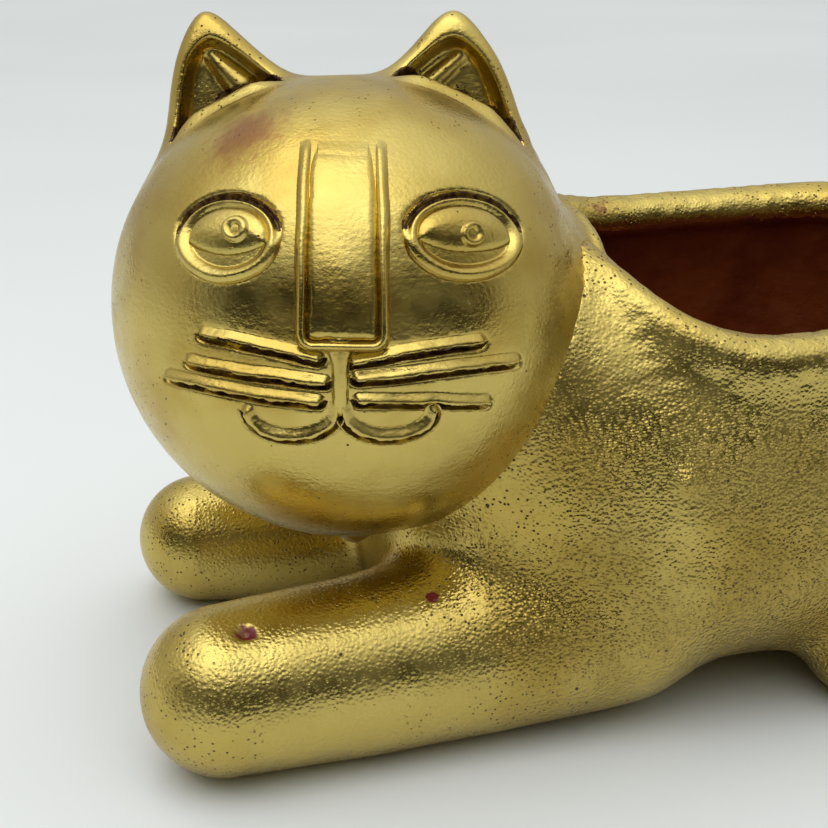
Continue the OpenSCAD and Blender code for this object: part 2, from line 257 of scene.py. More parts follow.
def pot_side(points, share, inset):
    """Level distance to the pot's wall, moved in by inset, at a share of the way up to the rim."""
    reach = np.where(share < POT_WIDEST_T, POT_BASE_REACH, POT_SHOULDER_REACH)
    half = POT_HALF_W * np.sqrt(np.maximum(1 - ((share - POT_WIDEST_T) / reach) ** 2, 0.02)) - inset
    front = CHEST_X + (RIM_FRONT_X - CHEST_X) * ((share - CHEST_T) / (1 - CHEST_T)) ** 2
    back = RUMP_X - (RUMP_X - RIM_BACK_X) * ((share - RUMP_T) / (1 - RUMP_T)) ** 2
    x = points[:, 0] - POT_MID
    reach_x = np.where(x < 0, POT_MID - front, back - POT_MID) - inset
    u, v = np.abs(x) / reach_x, np.abs(points[:, 1]) / half
    q = np.maximum(u ** SQUARENESS + v ** SQUARENESS, 1e-4)
    # How fast q rises along the line of steepest climb turns the outline's ratio into a distance.
    slope = np.hypot(u ** (SQUARENESS - 1) / reach_x, v ** (SQUARENESS - 1) / half)
    level = q ** (1 / SQUARENESS)
    return (level - 1) * level ** (SQUARENESS - 1) / np.maximum(slope, 1e-5)


def pot_share(points):
    """Each point's share of the way from the ground up to the rim."""
    return np.clip(points[:, 2] / rim_height(points), 0, 1.15)


def pot_outside(points):
    """The pot's outer form, rounded at its foot and open-ended upwards."""
    side = pot_side(points, pot_share(points), 0) * WALL_LEAN
    return smooth_max(side, -points[:, 2], 4)


def pot_hollow(points):
    """The pot's inside, rounded where the wall meets the floor."""
    inside = pot_side(points, pot_share(points), WALL) * WALL_LEAN
    return smooth_max(inside, FLOOR_T - points[:, 2], 8)


def rim_line(points):
    """Distance to the middle of the wall's top edge."""
    level = pot_side(points, np.ones(len(points)), WALL / 2)
    return np.hypot(level, points[:, 2] - rim_height(points))


def rim_roll(points):
    """The rolled coil along the wall's top edge."""
    return rim_line(points) - RIM_R


def body_skin(points):
    """The body's outside: the pot, with the neck flowing down into its shoulders."""
    along, _ = along_neck(points)
    neck = smooth_max(neck_side(points), along - NECK_REACH - NECK_LAP, 6)
    neck = smooth_max(neck, NECK_REACH - 8 - along, 1)
    below_rim = points[:, 2] - rim_height(points)
    pot = smooth_max(pot_outside(points), below_rim, 1.5)
    neck = smooth_max(neck, below_rim - 1, 3)
    return smooth_min(pot, neck, SHOULDER_FILLET)


def body_field(points):
    """The pot's wall and floor, cut away where the head and its neck stub stand."""
    shell = smooth_max(body_skin(points), -pot_hollow(points), 1)
    shell = smooth_max(shell, HEAD_R - 0.4 - np.linalg.norm(points - HEAD, axis=1), 0.5)
    along, _ = along_neck(points)
    in_head = np.maximum(neck_side(points), along - NECK_REACH)
    return np.maximum(shell, -(in_head + 0.4))


# ---------- legs and tail ----------

def on_side(handles, side):
    """Moves handles to the near side of the body, -1, or leaves them on the far side, 1."""
    return [(x, side * y, z) for x, y, z in handles]


def foreleg_form(points, side):
    """The near foreleg is on side -1. The far one is a little slimmer, and drawn back."""
    r = LEG_R if side < 0 else LEG_R - FAR_LEG_SLIMMER
    rest_z = r - LEG_SUNK
    paw_x = NEAR_PAW_X + r + (0 if side < 0 else FAR_PAW_BACK)
    handles = [
        (paw_x, PAW_SPREAD, rest_z), (HEAD[0] - 12, PAW_SPREAD - 2, rest_z),
        (HEAD[0] + 22, PAW_SPREAD - 4, rest_z), (HEAD[0] + 54, PAW_SPREAD - 4, rest_z + 5),
    ]
    return tube(points, on_side(handles, side), r, r + LEG_THICKER)


def haunch_form(points, side):
    """The thigh, from the rump's corner down to the knee."""
    return tube(points, on_side(HAUNCH, side), *HAUNCH_R)


def hind_paw_form(points, side):
    """The hind paw, lying along the ground from heel to toe."""
    return tube(points, on_side(HIND_PAW, side), *HIND_PAW_R)


def tail_form(points):
    """The tail drops from the rump and curls round to the near side."""
    return tube(points, TAIL, *TAIL_R)


# ---------- turning fields into meshes ----------

def slopes(field, points, e=0.02):
    """A field's value and how fast it climbs along each axis, from four samples round each point."""
    total, climb = 0, 0
    for corner in ((1, -1, -1), (-1, -1, 1), (-1, 1, -1), (1, 1, 1)):
        value = field(points + e * np.array(corner))
        total = total + value
        climb = climb + value[:, None] * np.array(corner)
    climb = climb / (4 * e)
    return total / 4, climb


def sample(field, low, high, step, slack):
    """The field on a lattice, worked out in full only in the blocks that the surface may cross."""
    block = 4
    counts = np.ceil((high - low) / step / block).astype(int) + 1
    centres = np.stack(np.meshgrid(*[np.arange(n) for n in counts], indexing="ij"), -1).reshape(-1, 3)
    rough = field(low + (centres * block + (block - 1) / 2) * step)
    values = rough.reshape(counts)
    for axis in range(3):
        values = np.repeat(values, block, axis)
    near = centres[np.abs(rough) < slack * block * step]
    offsets = np.stack(np.meshgrid(*[np.arange(block)] * 3, indexing="ij"), -1).reshape(1, -1, 3)
    for part in np.array_split(near, len(near) // 4000 + 1):
        cells = (part[:, None, :] * block + offsets).reshape(-1, 3)
        values[tuple(cells.T)] = field(low + cells * step)
    return values


def surface(name, field, low, high, step, slack=1.6):
    """A mesh object of a field's zero surface, with the clay's unevenness added along its normal."""
    low = np.array(low, float) - 2 * step
    high = np.array(high, float) + 2 * step
    values = sample(field, low, high, step, slack)
    grid = openvdb.FloatGrid(float(values.max()))
    grid.copyFromArray(values.astype(np.float32))
    points, quads = grid.convertToQuads(0.0)
    points = points.astype(float) * step + low
    for _ in range(3):
        value, climb = slopes(field, points)
        size = np.maximum(np.sum(climb * climb, axis=1), 0.05)
        points = points - climb * np.clip(value / size, -step / 2, step / 2)[:, None]
    _, climb = slopes(field, points)
    normal = climb / np.maximum(np.linalg.norm(climb, axis=1), 1e-6)[:, None]
    points = points + normal * lumps(points)[:, None]
    points[:, 2] = np.maximum(points[:, 2], 0)
    return mesh_object(name, points * MM, quads)


def mesh_object(name, points, quads):
    """A smooth-shaded object from points in metres and quads, turned so that it faces outwards."""
    corner = points[quads]
    across = np.cross(corner[:, 2] - corner[:, 0], corner[:, 3] - corner[:, 1])
    if np.sum(across * corner.mean(axis=1)) < 0:
        quads = quads[:, ::-1]
    mesh = bpy.data.meshes.new(name)
    mesh.vertices.add(len(points))
    mesh.vertices.foreach_set("co", points.astype(np.float32).ravel())
    mesh.loops.add(quads.size)
    mesh.loops.foreach_set("vertex_index", quads.astype(np.int32).ravel())
    mesh.polygons.add(len(quads))
    mesh.polygons.foreach_set("loop_start", np.arange(0, quads.size, 4, dtype=np.int32))
    mesh.update(calc_edges=True)
    mesh.validate()
    mesh.polygons.foreach_set("use_smooth", np.ones(len(mesh.polygons), bool))
    obj = bpy.data.objects.new(name, mesh)
    bpy.context.scene.collection.objects.link(obj)
    return obj


def luted(piece, base, fillet):
    """A piece pressed onto a base: its edge flows into the base's surface, and its back lies inside."""
    embed, dip = 0.7, 0.02

    def field(points):
        own, under = piece(points), base(points)
        outer = smooth_min(own, under, fillet) + dip
        return np.maximum(np.maximum(outer, -(under + embed)), own - fillet * 1.02)
    return field


# ---------- the clay's unevenness ----------

LEG_HOLE = HEAD + np.array([-30.1, -37.1, -55.6])
RED_DOT = HEAD + np.array([9.5, -36.2, -53.5])
FACE_MIDDLE = HEAD + FACE @ np.array([0, -HEAD_R, 0])
BROW_STAIN = HEAD + np.array([-24, -15, 41])
CHIN_DRIP = HEAD + np.array([-3, -19, -46.2])
FLANK_LUMP = HEAD + np.array([59.2, -47.8, -27.5])
# Middle, radius and height of each lump or dent that is not part of the general unevenness.
MARKS = [(CHIN_DRIP, 4.5, 1.6), (FLANK_LUMP, 4, 1.6), (LEG_HOLE, 2.6, -1.8)]


def lumps(points):
    """Hand-smoothed clay under sprayed paint: broad swells, with small bumps where the paint is thick."""
    marks = 0
    for middle, radius, height in MARKS:
        marks = marks + height * bump(np.linalg.norm(points - middle, axis=1), 0, radius)
    rough = step_up(points[:, 0], HEAD[0] + 18, HEAD[0] + 60) * step_up(points[:, 2], 4, 20)
    broad = 0.16 * noise(points, 13) + 0.05 * noise(points, 5)
    return marks + broad + rough * (0.16 * noise(points, 3.1) + 0.12 * noise(points, 1.9))


# ---------- materials ----------

class Shader:
    """A small helper that adds and links the nodes of one material."""

    def __init__(self, name):
        self.material = bpy.data.materials.new(name)
        self.material.use_nodes = True
        self.tree = self.material.node_tree
        self.tree.nodes.clear()
        out = self.tree.nodes.new("ShaderNodeOutputMaterial")
        self.bsdf = self.tree.nodes.new("ShaderNodeBsdfPrincipled")
        self.tree.links.new(self.bsdf.outputs[0], out.inputs[0])
        self.place = self.tree.nodes.new("ShaderNodeTexCoord").outputs["Object"]

    def put(self, kind, inputs=(), **settings):
        """Adds a node, with its settings and its inputs by name or number."""
        node = self.tree.nodes.new(kind)
        for key, value in settings.items():
            setattr(node, key, value)
        for key, value in dict(inputs).items():
            if isinstance(value, bpy.types.NodeSocket):
                self.tree.links.new(value, node.inputs[key])
            else:
                node.inputs[key].default_value = value
        return node

    def math(self, operation, a, b=0.0):
        return self.put("ShaderNodeMath", {0: a, 1: b}, operation=operation).outputs[0]

    def ramp(self, value, low, high, to_low=0.0, to_high=1.0):
        """Maps a value from one range smoothly onto another, and holds it at both ends."""
        inputs = {"Value": value, 1: low, 2: high, 3: to_low, 4: to_high}
        return self.put("ShaderNodeMapRange", inputs, interpolation_type="SMOOTHSTEP").outputs[0]

    def noise(self, per_mm, detail=2.0, rough=0.5, vector=None):
        inputs = {"Vector": vector or self.place, "Scale": per_mm / MM, "Detail": detail, "Roughness": rough}
        return self.put("ShaderNodeTexNoise", inputs).outputs["Fac"]

    def cells(self, per_mm):
        """A node with the distance to scattered points, about 1 / per_mm millimetres apart."""
        inputs = {"Vector": self.place, "Scale": per_mm / MM}
        return self.put("ShaderNodeTexVoronoi", inputs)

    def near(self, middle, inner, outer):
        """1 within inner millimetres of a place in the shared frame, 0 beyond outer, with an uneven edge."""
        inputs = {0: self.place, 1: Vector(middle * MM)}
        away = self.put("ShaderNodeVectorMath", inputs, operation="DISTANCE").outputs["Value"]
        uneven = self.ramp(self.noise(0.4, 3), 0.3, 0.7, 0.75, 1.25)
        return self.ramp(self.math("MULTIPLY", away, uneven), outer * MM, inner * MM)

    def mix(self, factor, a, b):
        return self.put("ShaderNodeMix", {0: factor, 6: a, 7: b}, data_type="RGBA").outputs[2]

    def bump(self, height, distance):
        """A normal for fine relief. distance is in millimetres for a height of 1."""
        inputs = {"Height": height, "Distance": distance * MM, "Strength": 1.0}
        return self.put("ShaderNodeBump", inputs).outputs[0]

    def finish(self, **sockets):
        """Sets or links the surface's inputs, and gives the material."""
        for key, value in sockets.items():
            name = key.replace("_", " ")
            if isinstance(value, bpy.types.NodeSocket):
                self.tree.links.new(value, self.bsdf.inputs[name])
            else:
                self.bsdf.inputs[name].default_value = value
        return self.material


# Colours, linear.
GOLD = (0.58, 0.45, 0.125, 1)
WARM_GOLD = (0.48, 0.34, 0.075, 1)
# Dark of the pinholes, and also of the painted shade in grooves.
PIT_AND_SHADE_DARK = (0.035, 0.010, 0.006, 1)
# Brown gold of the painted shade in grooves.
SHADE_BROWN_GOLD = (0.14, 0.085, 0.02, 1)
RED_BROWN = (0.26, 0.06, 0.03, 1)
# Painted shade: a darker gold for the grainy patches on the lower flank.
GRAIN_SHADE_GOLD = (0.30, 0.21, 0.045, 1)
RED = (0.17, 0.012, 0.012, 1)
CLAY = (0.15, 0.022, 0.004, 1)
WARM_CLAY = (0.26, 0.058, 0.008, 1)


def pits(s, per_mm, size, share):
    """1 at the middle of scattered pinholes, 0 elsewhere. share is the part of the cells that has one."""
    cell = s.cells(per_mm)
    hole = s.ramp(cell.outputs["Distance"], size, size * 0.35)
    split = s.put("ShaderNodeSeparateColor", {0: cell.outputs["Color"]}).outputs[0]
    return s.math("MULTIPLY", hole, s.math("LESS_THAN", split, share))


def shade_and_grain_places(s):
    """1 where the paint lies grainy, and where painted shade darkens it: in broad patches on the body, from
    the chest back and below the rim.
    """
    split = s.put("ShaderNodeSeparateXYZ", {0: s.place})
    on_body = s.ramp(split.outputs["X"], (HEAD[0] - 5) * MM, (HEAD[0] + 55) * MM)
    below_rim = s.ramp(split.outputs["Z"], (RIM_Z - 2) * MM, (RIM_Z - 22) * MM)
    return s.math("MULTIPLY", s.math("MULTIPLY", on_body, below_rim), s.ramp(s.noise(0.022, 2), 0.3, 0.55))


def gold_paint(name, worn_from):
    """Sprayed metallic gold over a red primer coat, which shows where noise is above worn_from."""
    s = Shader(name)
    bumps = s.ramp(s.cells(1.15).outputs["Distance"], 0.75, 0.05)
    fine = s.noise(1.3, 2, 0.6)
    cloud = s.noise(0.035, 3)
    grain_and_shade = shade_and_grain_places(s)
    clusters = s.ramp(s.noise(0.035, 2), 0.36, 0.52)
    small_pits = s.math("MULTIPLY", pits(s, 0.85, 0.27, 0.7), clusters)
    holes = s.math("MAXIMUM", small_pits, pits(s, 0.2, 0.1, 0.35))
    holes = s.math("MAXIMUM", holes, s.near(LEG_HOLE, 0.7, 1.1))
    worn = s.ramp(s.noise(0.045, 5, 0.7), worn_from, worn_from + 0.07)
    spots = s.math("MAXIMUM", s.near(LEG_HOLE, 1.6, 2.6), s.near(RED_DOT, 1.1, 1.5))
    worn = s.math("MAXIMUM", worn, spots)
    colour = s.mix(s.ramp(cloud, 0.4, 0.68), GOLD, WARM_GOLD)
    # Painted shade: the grainy patches are darkened more the further below the rim they lie. Their grain, in
    # the bump below, is real.
    colour = s.mix(s.math("MULTIPLY", grain_and_shade, 0.55), colour, GRAIN_SHADE_GOLD)
    colour = s.mix(worn, colour, RED)
    colour = s.mix(holes, colour, PIT_AND_SHADE_DARK)
    height = s.math("ADD", s.math("MULTIPLY", bumps, 0.8), fine)
    height = s.math("MULTIPLY", height, s.ramp(grain_and_shade, 0, 1, 0.3, 1.0))
    height = s.math("SUBTRACT", height, s.math("MULTIPLY", holes, 1.2))
    return s.finish(
        Base_Color=colour,
        Metallic=s.ramp(s.math("MAXIMUM", worn, holes), 0, 1, 1.0, 0.15),
        Roughness=s.ramp(s.noise(0.09, 4), 0.3, 0.7, 0.24, 0.38),
        Normal=s.bump(height, 0.26),
    )


def gold_smooth():
    """The face's gold: the same paint, drawn smooth with a brush."""
    s = Shader("gold_smooth")
    stretch = s.put("ShaderNodeMapping", {"Vector": s.place, "Scale": (0.25, 0.25, 1.0)})
    streaks = s.noise(0.9, 3, 0.6, stretch.outputs[0])
    fine = s.noise(1.2, 2)
    outer_face = s.math("SUBTRACT", 1.0, s.near(FACE_MIDDLE, 38, 54))
    patchy = s.math("MULTIPLY", outer_face, s.ramp(s.noise(0.05, 2), 0.38, 0.55))
    holes = s.math("MAXIMUM", pits(s, 0.3, 0.09, 0.3), s.math("MULTIPLY", pits(s, 0.8, 0.24, 0.6), patchy))
    cloud = s.noise(0.05, 3)
    colour = s.mix(s.ramp(cloud, 0.4, 0.7), GOLD, WARM_GOLD)
    stain = s.math("MULTIPLY", s.near(BROW_STAIN, 2, 11), 0.7)
    colour = s.mix(stain, colour, RED_BROWN)
    colour = s.mix(holes, colour, PIT_AND_SHADE_DARK)
    height = s.math("ADD", s.math("MULTIPLY", streaks, 0.4), s.math("MULTIPLY", fine, 0.5))
    height = s.math("SUBTRACT", height, s.math("MULTIPLY", holes, 1.2))
    return s.finish(
        Base_Color=colour,
        Metallic=s.ramp(holes, 0, 1, 1.0, 0.2),
        Roughness=s.ramp(s.noise(0.12, 4), 0.3, 0.7, 0.22, 0.36),
        Normal=s.bump(height, 0.16),
    )


def undercoat():
    """Painted shade: dark red-brown with a dusting of gold, for the grooves and hollows where shade falls."""
    s = Shader("undercoat")
    colour = s.mix(s.ramp(s.noise(0.8, 3), 0.4, 0.65), PIT_AND_SHADE_DARK, SHADE_BROWN_GOLD)
    return s.finish(Base_Color=colour, Metallic=0.7, Roughness=0.4, Normal=s.bump(s.noise(1.5, 2), 0.15))


def red_clay():
    """Bare fired clay inside the pot, with the red primer coat brushed over it."""
    s = Shader("red_clay")
    colour = s.mix(s.ramp(s.noise(0.05, 4), 0.35, 0.65), CLAY, WARM_CLAY)
    colour = s.mix(s.ramp(s.noise(0.03, 3), 0.6, 0.7), colour, RED)
    height = s.math("ADD", s.noise(0.35, 3), s.math("MULTIPLY", s.noise(1.5, 2), 0.4))
    return s.finish(
        Base_Color=colour,
        Roughness=s.ramp(s.noise(0.2, 3), 0.3, 0.7, 0.45, 0.7),
        Normal=s.bump(height, 0.3),
    )


# ---------- pieces ----------

def finish_piece(obj, node, material):
    """Gives a piece its material, and puts it in place of its CAD node."""
    obj.data.materials.append(material)
    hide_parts(node)
    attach(obj, "root")


def grown(node, by):
    """A CAD node's box, grown by a margin on every side."""
    low, high = box_mm(node)
    return low - by, high + by


# The rim's paint is worn through in more places than the rest.
SMOOTH = gold_smooth()
# Painted shade, for the grooves under strands, round the tops of the eyes and low in the ear hollows.
GROOVE_SHADE_PAINT = undercoat()
PAINT = gold_paint("gold_paint", 0.68)
LIP_PAINT = gold_paint("gold_paint_worn", 0.58)
CLAY_RED = red_clay()


def make_head():
    """The ball and its neck stub, let in under the face's pieces, with its vent at the back."""
    vent_low, vent_r = 44, 3

    def field(points):
        along, out = along_neck(points)
        vent = np.maximum(out - vent_r, vent_low - along)
        sunk = face_recess(points)
        return smooth_max(head_form(points) + sunk, -vent, 0.8)

    low, high = grown("head_shell", 1)
    high[0] = max(high[0], HEAD[0] + HEAD_R + 1)
    finish_piece(surface("head", field, low, high, 0.75), "head_shell", SMOOTH)


def face_recess(points):
    """How far the ball is let in under the eyes and ears, where those pieces carry the shape."""
    at, _ = face_place(points)
    local = (points - HEAD) @ FACE
    on_front = at[:, 1] < 0
    on_top = local[:, 2] > 0
    depth = 0
    for side in SIDES:
        gap = eye_gap(at[:, 0], at[:, 2], EYES[side])
        edge = eye_top(at[:, 2], EYES[side]) - 0.3
        depth = depth + EYE_BED * (1 - step_up(gap, edge, edge + 1)) * on_front
        depth = depth + (POCKET_DEPTH + 0.5) * step_up(-ear_pocket(local, side), -0.4, 0.8) * on_top
    return depth + strand_recess(at)


def strand_recess(at):
    """The bed cut in the ball under each pressed-on coil, wider on its lower side."""
    depth = np.zeros(len(at))
    above_foot = at[:, 2] - NOSE.z + NOSE.half_h
    muzzle = (at[:, 1] < -20) & (above_foot < 8) & (above_foot > -26)
    x, z = at[muzzle][:, 0], at[muzzle][:, 2]
    bed = np.zeros(len(x))
    for places in STRANDS.values():
        down = strand_side(x, z, places)
        bed = np.maximum(bed, step_up(down, -1.2, -0.4) * (1 - step_up(down, 1.2, 2.0)))
    depth[muzzle] = STRAND_BED * bed
    return depth


Patch = namedtuple("Patch", "x z half_w half_h")


def face_box(node):
    """A face piece's middle and half sizes on the ball, seen square on."""
    at, _ = face_place(node_points(node))
    low, high = at.min(axis=0), at.max(axis=0)
    middle, half = (low + high) / 2, (high - low) / 2
    return Patch(middle[0], middle[2], half[0], half[2])


# Radii of the plain coils in the CAD.
CAD_EYE_COIL = 1.3
CAD_COIL = 1.2
SIDES = ("left", "right")
EYES = {side: face_box(f"{side}_eye_rim") for side in SIDES}
PUPILS = {side: face_box(f"{side}_pupil") for side in SIDES}
NOSE = face_box("nose_bar")
PHILTRUM = face_box("philtrum")
EYE_BED = 1.3
FACE_EMBED = 1.6
POCKET_DEPTH = 3
STRAND_BED = 1.6
STRAND_GROOVE = 1.1
STRAND_RISE = 1.25


def eye_gap(x, z, eye):
    """Distance outside the middle line of an eye's oval rim, less than 0 inside it."""
    u, v = x - eye.x, z - eye.z
    a, b = eye.half_w - CAD_EYE_COIL, eye.half_h - CAD_EYE_COIL
    level = np.maximum(np.hypot(u / a, v / b), 0.05)
    slope = np.hypot(u / a ** 2, v / b ** 2) / level
    return (level - 1) / np.maximum(slope, 0.02)


def flat(x, z):
    """Places x, z of the face as points, for noise."""
    return np.stack([x, 0 * x, z], axis=1)


def faded(height, past):
    """Sinks a piece's surface into the ball where past, the distance beyond its edge, is above 0."""
    return height * (1 - step_up(past, -0.5, 0.1)) - 2.2 * np.maximum(past, 0)


def on_face(height):
    """The field of a piece of the face: height gives its surface above the ball at a place x, z."""
    def field(points):
        at, above = face_place(points)
        worked = at + 0.22 * np.stack([noise(at, 7), noise(at + 50, 7), noise(at + 90, 7)], axis=1)
        raised = height(worked[:, 0], worked[:, 2])
        return np.maximum(np.maximum(above - raised, -above - FACE_EMBED), at[:, 1] + 8)
    return field


def eye_top(z, eye):
    """0 at the foot of an eye, 1 at its top."""
    return step_up((z - eye.z) / eye.half_h, -0.2, 0.45)


def crease_z(x, eye):
    """The line where the eyeball meets the lower lid."""
    u = np.clip((x - eye.x) / (eye.half_w - 2), -1, 1)
    return eye.z - 0.4 - 2.9 * (1 - u * u)


def eye_rim_height(side):
    """An oval coil, thin and sunk behind a groove along its top, thick and proud along its foot."""
    eye = EYES[side]

    def height(x, z):
        gap = eye_gap(x, z, eye)
        top = eye_top(z, eye)
        ragged = 0.12 * noise(flat(x, z), 2.1) * top
        width = 1.75 - 0.65 * top
        ring = (1.5 - 0.7 * top) * np.sqrt(bump(gap + ragged, -0.65, width))
        edge = 0.75 + 0.25 * top
        groove = top * step_up(gap, -0.6, -0.1) * (1 - step_up(gap, 0.2, 1.0))
        return faded(ring - 0.3 * (1 - step_up(gap, 0, 0.8)) - groove - 0.02, gap - edge)
    return height


def eyeball_height(side):
    """The eyeball: swelling between the upper lid and the crease over the lower one."""
    eye = EYES[side]

    def height(x, z):
        edge = np.minimum(-eye_gap(x, z, eye) - 1.7, 0.8 * (z - crease_z(x, eye)))
        swell = np.clip(edge / 4, 0, 1)
        return -0.6 + 1.75 * np.sqrt(1 - (1 - swell) ** 2) + 2.5 * np.minimum(edge, 0)
    return height


def pupil_height(side):
    """A small button with a dimple, on the eyeball."""
    pupil = PUPILS[side]
    under = eyeball_height(side)

    def height(x, z):
        away = np.hypot(x - pupil.x, z - pupil.z)
        ring = 0.7 * np.sqrt(np.maximum(bump(away, 1.7, 1.1), 0)) - 0.45 * bump(away, 0, 1.0)
        return under(x, z) + faded(ring, away - pupil.half_w - 0.25)
    return height


def nose_edge(x, z):
    """Distance in from the nose bar's sides and foot, round its corners, and the share of the way down it."""
    share = np.clip((NOSE.z + NOSE.half_h - z) / (2 * NOSE.half_h), 0, 1)
    from_side = NOSE.half_w * (0.97 + 0.06 * share) - np.abs(x - NOSE.x - 0.5)
    from_foot = z - (NOSE.z - NOSE.half_h + 0.4)
    corner = 3.2
    round_off = np.hypot(np.maximum(corner - from_side, 0), np.maximum(corner - from_foot, 0))
    return np.where(round_off > 0, corner - round_off, np.minimum(from_side, from_foot)), share


def nose_level(share):
    """How far the nose stands out of the face, from its brow to its tip."""
    return 0.1 + 1.3 * share ** 0.8


def nose_height(x, z):
    """The nose bar: a raised rail along its edge, with a groove inside it."""
    edge, share = nose_edge(x, z)
    rise = np.sqrt(step_up(edge, -0.6, 1.2))
    rail = (0.35 + 0.5 * share) * bump(edge, 0.9, 1.5)
    groove = (0.8 + 0.35 * share) * bump(edge, 2.25, 0.9)
    over = z - NOSE.z - NOSE.half_h
    body = (nose_level(share) * rise + rail - groove) * step_up(-over, 0, 3.5)
    return faded(body - 0.03, np.maximum(-edge - 0.5, over))


def panel_height(x, z):
    """The plate on the nose bar, inside its groove."""
    edge, share = nose_edge(x, z)
    at = flat(x, z)
    inner = np.minimum(edge - 2.1, 40 * (share - 0.02)) + 0.15 * noise(at, 1.6)
    level = nose_level(share) - 0.75 + (0.85 + 0.1 * share) * np.sqrt(step_up(inner, -0.3, 1.3))
    level = (level + 0.12 * noise(at, 5) + 0.12) * step_up(share, 0.02, 0.14) - 0.12
    return level - 2.5 * np.maximum(-inner, 0)


def strand_side(x, z, places):
    """Distance from a line through places x, z: more than 0 below the line, less than 0 above it."""
    best = np.full(len(x), np.inf)
    below = np.zeros(len(x), bool)
    for start, end in zip(places[:-1], places[1:]):
        way = end - start
        u, v = x - start[0], z - start[1]
        t = np.clip((u * way[0] + v * way[1]) / (way @ way), 0, 1)
        away = np.hypot(u - t * way[0], v - t * way[1])
        below = np.where(away < best, v - t * way[1] < 0, below)
        best = np.minimum(best, away)
    return np.where(below, best, -best)


def strand_height(places, rise):
    """A coil pressed on along a line: smoothed off above, with a ragged lower edge over a groove."""
    def height(x, z):
        down = strand_side(x, z, places)
        at = flat(x, z)
        ragged = 0.28 * noise(at, 1.5) + 0.2 * noise(at, 0.7)
        uneven = 1 + 0.15 * noise(at + 70, 2.6)
        upper = bump(down, 0.15, 1.75 + 0.3 * ragged)
        lower = 1 - step_up(down + ragged, 0.35, 0.85)
        body = rise * uneven * np.where(down < 0.15, upper, lower)
        groove = STRAND_GROOVE * step_up(down + ragged, 0.4, 0.9) * (1 - step_up(down, 1.15, 2.1))
        return faded(body - groove - 0.03, np.maximum(-down - 1.6, down - 2.1))
    return height


def strand_shade_places(places):
    """Tells which places lie in the groove under a strand, where shade is painted in."""
    def test(points):
        at, _ = face_place(points)
        down = strand_side(at[:, 0], at[:, 2], places)
        return (down > 0.45) & (down < 1.35 + 0.4 * noise(at, 2.2))
    return test


def whisker_places(node):
    """The middle line of a whisker, taken from its CAD node: two ends and the bow between them."""
    at, _ = face_place(node_points(node))
    low, high = at[:, 0].min() + CAD_COIL, at[:, 0].max() - CAD_COIL

    def level(x):
        near = at[np.abs(at[:, 0] - x) < 2 * CAD_COIL]
        return (near[:, 2].min() + near[:, 2].max()) / 2

    return np.array([(x, level(x)) for x in np.linspace(low, high, 6)])


def lip_places(node):
    """The hanging arc of half a mouth, from its CAD node, drawn on to the philtrum's foot."""
    lip = face_box(node)
    hand = 1 if lip.x > PHILTRUM.x else -1
    turns = np.linspace(0.12 * math.pi, 0.97 * math.pi, 12)
    across = lip.x - hand * (lip.half_w - CAD_COIL) * np.cos(turns)
    down = lip.z + lip.half_h - CAD_COIL - 2 * (lip.half_h - CAD_COIL) * np.sin(turns)
    foot = (PHILTRUM.x + hand * 0.4, PHILTRUM.z - PHILTRUM.half_h + 1)
    return np.vstack([[foot], np.stack([across, down], axis=1)])[::hand]


def philtrum_height(x, z):
    """The short ridge between nose and mouth, which spreads where it meets the nose."""
    top, foot = PHILTRUM.z + PHILTRUM.half_h + 1.2, PHILTRUM.z - PHILTRUM.half_h + 0.5
    narrow = 1.7
    wide = narrow + 1.6 * step_up(z, top - 5, top)
    past_end = np.maximum(foot - z, 0) + np.maximum(z - top, 0)
    away = np.hypot((x - PHILTRUM.x) * narrow / wide, past_end)
    return faded(1.25 * np.sqrt(bump(away, 0, narrow)) - 0.03, away - narrow + 0.1)


WHISKERS = [f"{side}_{row}_whisker" for side in SIDES for row in ("top", "middle", "lower")]
STRANDS = {node: whisker_places(node) for node in WHISKERS}
STRANDS.update({f"{side}_lip": lip_places(f"{side}_lip") for side in SIDES})


def eye_shadow(side):
    """Tells which places lie in the groove round the top of an eye, where shade is painted in."""
    def test(points):
        at, _ = face_place(points)
        gap = eye_gap(at[:, 0], at[:, 2], EYES[side])
        reach = 1.1 + 0.5 * noise(at, 2.4)
        return (gap > 0.05) & (gap < reach) & (eye_top(at[:, 2], EYES[side]) > 0.5)
    return test


def show_second(obj, test, material):
    """Gives a second material to the faces whose middles pass the test."""
    obj.data.materials.append(material)
    count = len(obj.data.polygons)
    middles = np.empty(count * 3, np.float32)
    obj.data.polygons.foreach_get("center", middles)
    chosen = test(middles.reshape(-1, 3).astype(float) / MM)
    obj.data.polygons.foreach_set("material_index", chosen.astype(np.int32))


def make_face():
    """Every piece of clay laid on the face."""
    shade_tests = {node: strand_shade_places(places) for node, places in STRANDS.items()}
    shade_tests.update({f"{side}_eye_rim": eye_shadow(side) for side in SIDES})
    # Node, height and mesh step of each piece.
    plan = [
        ("nose_bar", nose_height, 0.3),
        ("nose_panel", panel_height, 0.3),
        ("philtrum", philtrum_height, 0.25),
    ]
    for side in SIDES:
        plan.append((f"{side}_eye_rim", eye_rim_height(side), 0.27))
        plan.append((f"{side}_eyeball", eyeball_height(side), 0.27))
        plan.append((f"{side}_pupil", pupil_height(side), 0.18))
    for node, places in STRANDS.items():
        plan.append((node, strand_height(places, STRAND_RISE), 0.22))
    for node, height, step in plan:
        low, high = grown(node, 5)
        obj = surface(node, on_face(height), low, high, step, slack=2.6)
        finish_piece(obj, node, SMOOTH)
        # The second material paints shade into the groove under each strand and round the top of each eye.
        if node in shade_tests:
            show_second(obj, shade_tests[node], GROOVE_SHADE_PAINT)


# ---------- ears ----------

